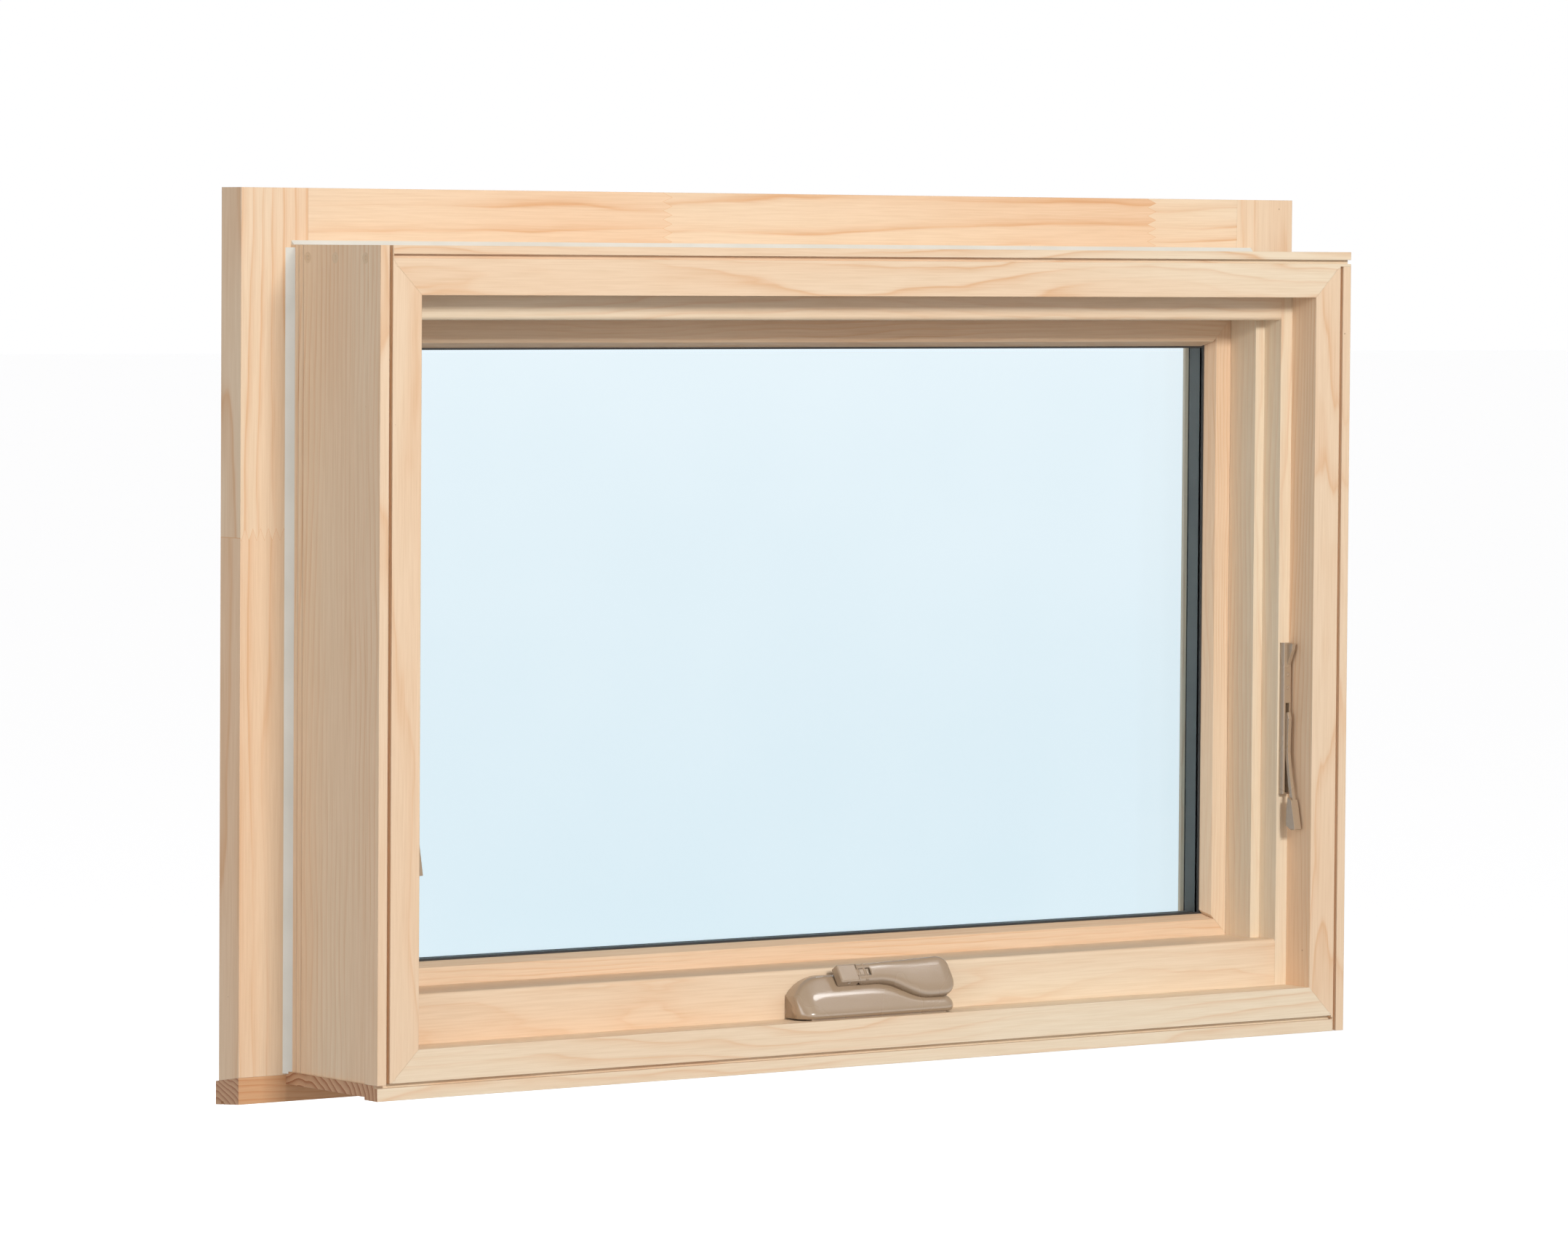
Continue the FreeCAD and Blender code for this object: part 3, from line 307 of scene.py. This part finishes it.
def rubbery(name, dark, light, scale, rough):
    """Dull soft material, such as rubber, foam, filler or sealant; `scale` is its grain's."""
    g = Graph(name)
    spot = g.coords.outputs["Object"]
    grain = g.noise(spot, scale, 4.0)
    cloud = g.noise(spot, 30.0, 2.0)
    colour = g.mix(cloud, dark, light)
    return g.finish(colour, g.ramp(grain, [(0.3, rough - 0.08), (0.7, rough + 0.08)]),
                    g.bump(grain, 0.2, 0.4 * MM))


def clear_glass(name):
    """Clear coated pane with a faint mottle; its colour is paler towards the top, and that gradient is
    painted light.
    """
    g = Graph(name)
    low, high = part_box("glass_inner")
    x, y, z = g.split(g.coords.outputs["Object"])
    rise = g.math("DIVIDE", g.math("SUBTRACT", z, low[2]), high[2] - low[2])
    mottle = g.swing(g.noise(g.coords.outputs["Object"], 7.0, 3.0), 0.5)
    # Paler at the top than at the bottom: painted light, not a change in the glass.
    tint_and_painted_light = g.mix(g.math("ADD", rise, mottle, clamp=True), GLASS_TINT_LOW_PAINTED_LIGHT, GLASS_TINT_HIGH_PAINTED_LIGHT)
    return g.finish(tint_and_painted_light, 0.0, Transmission_Weight=1.0, IOR=1.22)


def dress(material, *names):
    for name in names:
        mesh = nodes[name].data
        mesh.materials.clear()
        mesh.materials.append(material)


# ---- Wood ------------------------------------------------------------------------------------
def dress_wood():
    """Each member gets its own timber: grain direction, ring centre and tone differ by board."""
    def board(node, along, seed, pith, **look):
        low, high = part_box(node)
        middle = [(low[k] + high[k]) / 2 for k in range(3)]
        cross = [middle[k] for k in range(3) if "xyz"[k] != along]
        centre = (cross[0] + pith[0], cross[1] + pith[1])
        dress(pine("wood_" + node, along, seed, centre, **look), node)

    board("jamb_left", "z", 1.3, (-0.02, 0.16), ring=0.006, warm=0.62, contrast=0.5)
    board("jamb_right", "z", 4.1, (0.03, 0.17), ring=0.0045, warm=0.55, contrast=0.55)
    board("head_jamb", "x", 2.2, (0.04, -0.035), ring=0.0046, warm=0.2, contrast=0.65)
    board("sill", "x", 8.4, (0.03, -0.06), ring=0.0055, warm=0.15, contrast=0.4)
    board("side_stop_left", "z", 5.5, (0.03, 0.10), ring=0.004, warm=0.2, contrast=0.3)
    board("side_stop_right", "z", 6.5, (-0.04, 0.12), ring=0.005, warm=0.2, contrast=0.35)
    board("head_stop", "x", 9.7, (0.08, 0.05), ring=0.004, warm=0.25, contrast=0.3)
    board("sill_stop", "x", 3.9, (0.10, -0.03), ring=0.0035, warm=0.45, contrast=0.3)
    board("sill_stop_cap", "x", 3.9, (0.08, -0.05), ring=0.0035, warm=0.55, contrast=0.4)
    board("sash_stile_left", "z", 7.7, (0.05, 0.09), ring=0.003, warm=0.5, contrast=0.5)
    board("sash_stile_right", "z", 2.9, (0.06, -0.02), ring=0.0028, warm=0.6, contrast=0.6)
    board("sash_rail_top", "x", 6.1, (0.05, 0.09), ring=0.0032, warm=0.55, contrast=0.4)
    board("sash_rail_bottom", "x", 5.2, (0.03, 0.07), ring=0.0036, warm=0.4, contrast=0.5)
    board("glazing_beads_side", "z", 11.0, (0.05, 0.04), ring=0.003, warm=0.4, contrast=0.4)
    board("glazing_beads_rail", "x", 12.0, (0.04, 0.05), ring=0.003, warm=0.4, contrast=0.4)
    low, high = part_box("casing_head")
    joints = (low[0] + 0.37 * (high[0] - low[0]), low[0] + 0.905 * (high[0] - low[0]))
    board("casing_head", "x", 1.9, (0.012, 0.05), ring=0.011, warm=0.5, contrast=0.8, joints=joints)
    low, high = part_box("casing_left")
    joints = (low[2] + 0.62 * (high[2] - low[2]),)
    board("casing_left", "z", 3.3, (0.03, 0.02), ring=0.009, warm=0.45, contrast=0.6, joints=joints,
          across="x")
    board("casing_right", "z", 7.1, (0.02, 0.03), ring=0.009, warm=0.45, contrast=0.6,
          joints=(joints[0] - 0.2,), across="x")
    # The nosing is darkened by a multiplied colour: painted shade for the shade under the sill.
    board("sill_nosing", "x", 9.1, (0.02, -0.05), ring=0.0042, warm=1.0, contrast=0.9,
          shade=(0.82, 0.66, 0.52, 1))


def dress_rest():
    """Hardware, glass and seals."""
    taupe = enamel("taupe_enamel")
    dress(taupe, "operator_cover", "crank_hub", "handle_arm", "handle_knob", "lock_plate_left",
          "lock_plate_right", "lock_lever_left", "lock_lever_right", "handle_pins", "operator_base",
          "lock_fasteners")
    steel = plated("plated_steel")
    dress(steel, "casing_nails", "hinge_shoe_left", "hinge_shoe_right", "hinge_track_left",
          "hinge_track_right", "hub_set_screw", "inner_link_left", "inner_link_right",
          "operator_screws", "outer_link_left", "outer_link_right", "pull_bar", "pull_bracket",
          "pull_pin", "sash_bar_left", "sash_bar_right", "sash_screws", "spindle",
          "support_arm_left", "support_arm_right", "track_screws")
    # The corner screws' heads are filled and sanded flush.
    dress(rubbery("wood_filler", (0.62, 0.45, 0.29, 1), (0.72, 0.55, 0.38, 1), 1200.0, 0.7),
          "frame_screws")
    dress(clear_glass("glass_room_side"), "glass_inner")
    dress(clear_glass("glass_outside"), "glass_outer")
    dress(rubbery("spacer_foam", (0.10, 0.11, 0.108, 1), (0.15, 0.16, 0.155, 1), 1500.0, 0.5),
          "glass_spacer")
    dress(rubbery("glazing_rubber", (0.012, 0.012, 0.012, 1), (0.03, 0.029, 0.027, 1), 900.0, 0.55),
          "glazing_gasket", "setting_blocks")
    dress(rubbery("weather_bulb", (0.34, 0.27, 0.18, 1), (0.45, 0.36, 0.25, 1), 900.0, 0.6),
          "weatherstrip")
    dress(rubbery("cured_sealant", (0.60, 0.59, 0.53, 1), (0.74, 0.73, 0.68, 1), 250.0, 0.4),
          "sealant_bead")


# ---- Hardware castings -----------------------------------------------------------------------
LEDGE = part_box("operator_base")[0].z       # top of the sill ledge that the operator stands on
ROOM_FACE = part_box("jamb_left")[0].y       # room face of the frame
HUB = Vector([round(v, 5) for v in joints["crank_spin"]["pos_m"]])    # to 0.01 mm
OUT_FACE = Vector(joints["crank_spin"]["axis"]).normalized()    # the spindle leans into the room
UP_FACE = Vector((0, OUT_FACE.z, -OUT_FACE.y))
INSIDE = 0.1                 # mm that a casting's ends stay inside the CAD piece's
LINE_PARTS = 4               # parts that each stretch of a rounded line is divided into


def curve_at(points, place):
    """Smooth value through (place, value) pairs; past the first and last it stays the same."""
    if place <= points[0][0]:
        return points[0][1]
    for k in range(len(points) - 1):
        (x0, v0), (x1, v1) = points[k], points[k + 1]
        if place <= x1:
            before = points[max(k - 1, 0)]
            after = points[min(k + 2, len(points) - 1)]
            slope0 = (v1 - before[1]) / (x1 - before[0])
            slope1 = (after[1] - v0) / (after[0] - x0)
            span = x1 - x0
            t = (place - x0) / span
            return ((2 * t**3 - 3 * t**2 + 1) * v0 + (t**3 - 2 * t**2 + t) * span * slope0
                    + (3 * t**2 - 2 * t**3) * v1 + (t**3 - t**2) * span * slope1)
    return points[-1][1]


def rounding(distance, radius):
    """How far a round of this radius has drawn back at a distance from the end."""
    if distance >= radius:
        return 0.0
    return radius - math.sqrt(max(radius**2 - (radius - distance)**2, 0.0))


def stations(start, end, count):
    """Places from start to end, closer together near both ends."""
    return [start + (end - start) * (1 - math.cos(math.pi * k / count)) / 2
            for k in range(count + 1)]


def rounded_line(points, radii, steps=7):
    """Open line through (y, z) points with a round at each inner corner."""
    line = [Vector(points[0])]
    for k in range(1, len(points) - 1):
        a, b, c = (Vector(points[j]) for j in (k - 1, k, k + 1))
        into, away = (a - b).normalized(), (c - b).normalized()
        half = math.acos(max(-1.0, min(1.0, into.dot(away)))) / 2
        room = 0.48 * min((a - b).length, (c - b).length)
        back = min(radii[k - 1] / math.tan(half), room)
        for n in range(steps + 1):
            t = n / steps
            line.append((b + into * back) * (1 - t)**2 + b * 2 * t * (1 - t) + (b + away * back) * t**2)
    line.append(Vector(points[-1]))
    fine = [line[0]]
    for a, b in zip(line, line[1:]):
        fine += [a.lerp(b, k / LINE_PARTS) for k in range(1, LINE_PARTS + 1)]
    return fine


def cast_shell(name, rows, wall, hole, material):
    """Casting open underneath: a skin over the rows of points, closed at both ends.

    hole(a, b, c) says whether a place is left open: mm from the hub along the cover, up its face
    and out from it.
    """
    count = len(rows[0])
    mesh = bpy.data.meshes.new(name)
    mesh.materials.append(material)
    faces = []
    for r in range(len(rows) - 1):
        for k in range(count - 1):
            middle = (Vector(rows[r][k]) + Vector(rows[r + 1][k + 1])) / 2 - HUB
            if not hole(middle.x / MM, middle.dot(UP_FACE) / MM, middle.dot(OUT_FACE) / MM):
                faces.append((r * count + k, r * count + k + 1, (r + 1) * count + k + 1,
                              (r + 1) * count + k))
    faces.append(tuple(reversed(range(count))))
    faces.append(tuple(range((len(rows) - 1) * count, len(rows) * count)))
    mesh.from_pydata([p for row in rows for p in row], [], faces)
    mesh.update()
    for face in mesh.polygons:
        face.use_smooth = True
    piece = bpy.data.objects.new(name, mesh)
    bpy.context.collection.objects.link(piece)
    middle = sum((v.co for v in mesh.vertices), Vector()) / len(mesh.vertices)
    outward = sum(f.normal.dot(f.center - middle) * f.area for f in mesh.polygons)
    if outward < 0:
        mesh.flip_normals()
    shell = piece.modifiers.new("wall", "SOLIDIFY")
    shell.thickness = wall
    shell.offset = -1.0
    return piece


def on_face(a, b, c):
    """Point a along the cover, b up its sloping face and c out from the face, mm from the hub."""
    p = HUB + Vector((a, 0, 0)) * MM + UP_FACE * b * MM + OUT_FACE * c * MM
    return tuple(p)


def cast_cover(material):
    """Operator cover: rounded left shoulder, long top falling to a low tip on the right.

    Sizes are in mm: along the sill from the middle, in from the room face, up from the ledge.
    """
    low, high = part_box("operator_cover")
    half = high.x / MM
    back = (high.y - ROOM_FACE) / MM - INSIDE
    foot, skirt = (low.z - LEDGE) / MM + INSIDE, 4.4
    face_offset = 0.6446     # the sloping front's plane, from the ledge's front edge
    crown_rise = 1.0         # the front is crowned by this much, clear of the handle's back
    hub_hole = 5.099         # radius left open round the spindle
    hub_hole_depth = 4.0     # how far in from the hub the cover is left open
    lean_cos, lean_sin = UP_FACE.y, UP_FACE.z
    height = [(-70, 17.5), (-66, 22.0), (-59, 27.0), (-48, 30.4), (-34, 30.9), (0, 30.9), (12, 28.9),
              (24, 23.9), (36, 17.6), (50, 14.6), (66, 12.6), (70, 11.6)]
    rows = []
    for x in stations(INSIDE - half, half - INSIDE, 88):
        shoulder = rounding(half + x, 13.0)
        tip = rounding(half - x, 9.0)
        top = curve_at(height, x) - 0.45 * tip
        front = 1.6 + 0.85 * shoulder + 0.8 * tip
        crest = (top * lean_cos + face_offset) / lean_sin + 0.25 * shoulder + 0.5 * tip
        crest = min(max(crest, front + 0.6), back - 2.5)
        crown = ((front + crest) / 2 - crown_rise * lean_sin, (skirt + top) / 2 + crown_rise * lean_cos)
        line = rounded_line([(front + 2.2, foot), (front, skirt), crown, (crest, top), (back, top),
                             (back, foot)], [5.0, 60.0, 9.0, 0.8])
        rows.append([(x * MM, ROOM_FACE + p[0] * MM, LEDGE + p[1] * MM) for p in line])
    cover = cast_shell("operator_casting", rows, 1.6 * MM,
                       lambda a, b, c: math.hypot(a, b) < hub_hole and c > -hub_hole_depth, material)
    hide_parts("operator_cover")
    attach(cover, "frame")


def handle_section(a, bottom, top, under, face, count=26):
    """Squarish arch across the handle at a, from its lower edge over its face to its upper edge."""
    middle, half = (bottom + top) / 2, (top - bottom) / 2
    row = []
    for k in range(count + 1):
        angle = math.pi * (1 - k / count)
        cosine, sine = math.cos(angle), math.sin(angle)
        b = middle + half * math.copysign(abs(cosine)**0.4, cosine)
        row.append(on_face(a, b, under + (face - under) * abs(sine)**0.42))
    return row


def cast_handle(material):
    """Folding handle: slim at the fold, then an S curve down to a broad grip with a round end.

    Sizes are in mm from the hub: along the cover, up its face and out from it.
    """
    pivot = Vector(joints["handle_fold"]["pos_m"]) - HUB
    pin, pin_out = pivot.x / MM, pivot.dot(OUT_FACE) / MM
    tip = (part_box("handle_arm")[1].x - HUB.x) / MM
    eye = 6.5                # radius of the rounded end about the fold's pin
    underside, deepest_underside, face = 1.4, 8.0, 9.2
    slot_length, slot_half = 5.5, 2.8
    low = [(8.9, -7.0), (23.4, -7.0), (31.0, -7.2), (40.0, -9.2), (50.0, -14.2), (58.0, -18.2),
           (65.0, -20.3), (72.0, -20.9), (88.0, -20.3), (95.4, -19.0)]
    high = [(8.9, 7.0), (37.4, 8.3), (70.0, 9.8), (86.0, 10.4), (95.4, 10.2)]
    rows = []
    for a in stations(pin - eye + INSIDE, tip - INSIDE, 84):
        under = underside
        if a < pin:
            under = max(under, pin_out - math.sqrt(max(eye**2 - (a - pin)**2, 0.0)))
        draw = rounding(tip - a, 11.0)
        bottom, top = curve_at(low, a) + 0.9 * draw, curve_at(high, a) - 0.62 * draw
        rows.append(handle_section(a, bottom, top, min(under, deepest_underside), face - 0.35 * draw))
    handle = cast_shell("handle_casting", rows, 1.7 * MM,
                        lambda a, b, c: a < pin + slot_length and abs(b) < slot_half, material)
    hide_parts("handle_arm")
    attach(handle, "handle")


# ---- Stage -----------------------------------------------------------------------------------
FLOOR_DROP = 0.45            # the window hangs this far above the floor
FLOOR_HALF = 60.0
CAMERA_PLACE = (-3.347, -4.394, 0.590)
CAMERA_YAW, CAMERA_PITCH, CAMERA_ROLL = (math.radians(v) for v in (36.88, 2.81, 0.396))
LENS, SENSOR = 172.57, 36.0


def pale_floor():
    """Matt pale floor that glows a little, so that the ground stays white under soft light."""
    g = Graph("pale_floor")
    cloud = g.noise(g.coords.outputs["Object"], 0.8, 2.0)
    colour = g.mix(g.math("MULTIPLY", cloud, 0.06), FLOOR_PALE, FLOOR_CLOUD)
    return g.finish(colour, 0.9, Emission_Color=WHITE, Emission_Strength=0.57)


def add_area(name, place, target, size, power, colour=(1, 1, 1)):
    light = bpy.data.lights.new(name, "AREA")
    light.shape = "RECTANGLE"
    light.size, light.size_y = size
    light.energy = power
    light.color = colour
    lamp = bpy.data.objects.new(name, light)
    bpy.context.collection.objects.link(lamp)
    lamp.location = place
    aim = Vector(target) - Vector(place)
    lamp.rotation_euler = aim.to_track_quat("-Z", "Y").to_euler()
    return lamp


def studio_world():
    """Soft dome above, dimmer below, with a white band at eye level all round."""
    world = bpy.data.worlds.new("studio")
    world.use_nodes = True
    tree = world.node_tree
    background = tree.nodes["Background"]
    coords = tree.nodes.new("ShaderNodeTexCoord")
    parts = tree.nodes.new("ShaderNodeSeparateXYZ")
    height = tree.nodes.new("ShaderNodeMath")
    height.operation = "MULTIPLY_ADD"
    height.inputs[1].default_value = 0.5
    height.inputs[2].default_value = 0.5
    ramp = tree.nodes.new("ShaderNodeValToRGB")
    tones = [(0.0, 0.30), (0.475, 0.32), (0.488, 1.0), (0.53, 1.0), (0.62, 0.45), (1.0, 0.42)]
    set_stops(ramp.color_ramp, [(place, (tone, tone, tone * 1.01, 1)) for place, tone in tones])
    tree.links.new(coords.outputs["Generated"], parts.inputs[0])
    tree.links.new(parts.outputs["Z"], height.inputs[0])
    tree.links.new(height.outputs[0], ramp.inputs[0])
    tree.links.new(ramp.outputs[0], background.inputs[0])
    bpy.context.scene.world = world


def build_stage():
    """Floor, dome and four lamps; the lamp behind only lights the back of the window."""
    low, high = cad_box
    floor_z = low[2] - FLOOR_DROP
    mesh = bpy.data.meshes.new("floor")
    corners = [(-1, -1), (1, -1), (1, 1), (-1, 1)]
    mesh.from_pydata([(x * FLOOR_HALF, y * FLOOR_HALF, floor_z) for x, y in corners], [], [(0, 1, 2, 3)])
    floor = bpy.data.objects.new("floor", mesh)
    bpy.context.collection.objects.link(floor)
    mesh.materials.append(pale_floor())
    floor.visible_diffuse = False
    studio_world()
    middle = (0, 0, (low[2] + high[2]) / 2)
    add_area("key", (-0.15, -3.7, 1.9), middle, (0.8, 0.6), 104, (1, 0.985, 0.96))
    add_area("fill", (-4.0, -1.2, 0.9), middle, (2.0, 2.0), 36)
    add_area("sparkle", (2.1, -1.4, 2.8), middle, (0.35, 0.35), 5.5)
    behind = add_area("behind", (1.0, 3.4, 1.9), middle, (1.4, 1.0), 60)
    behind.visible_camera = False
    behind.visible_transmission = False
    behind.visible_glossy = False
    bpy.context.scene.view_settings.view_transform = "Standard"


def build_camera():
    """Eye level with the head, well to the left of the window, looking a little down."""
    flat = Vector((math.sin(CAMERA_YAW), math.cos(CAMERA_YAW), 0))
    right = Vector((math.cos(CAMERA_YAW), -math.sin(CAMERA_YAW), 0))
    up = Vector((0, 0, 1))
    ahead = flat * math.cos(CAMERA_PITCH) - up * math.sin(CAMERA_PITCH)
    rise = up * math.cos(CAMERA_PITCH) + flat * math.sin(CAMERA_PITCH)
    side = right * math.cos(CAMERA_ROLL) + rise * math.sin(CAMERA_ROLL)
    crown = rise * math.cos(CAMERA_ROLL) - right * math.sin(CAMERA_ROLL)
    data = bpy.data.cameras.new("camera")
    data.sensor_width = SENSOR
    data.lens = LENS
    data.clip_end = 200.0
    camera = bpy.data.objects.new("camera", data)
    bpy.context.collection.objects.link(camera)
    turn = Matrix((side, crown, -ahead)).transposed().to_4x4()
    camera.matrix_world = Matrix.Translation(CAMERA_PLACE) @ turn
    bpy.context.scene.camera = camera


build_camera()
build_stage()
dress_wood()
dress_rest()
casting_enamel = enamel("casting_enamel")
cast_cover(casting_enamel)
cast_handle(casting_enamel)
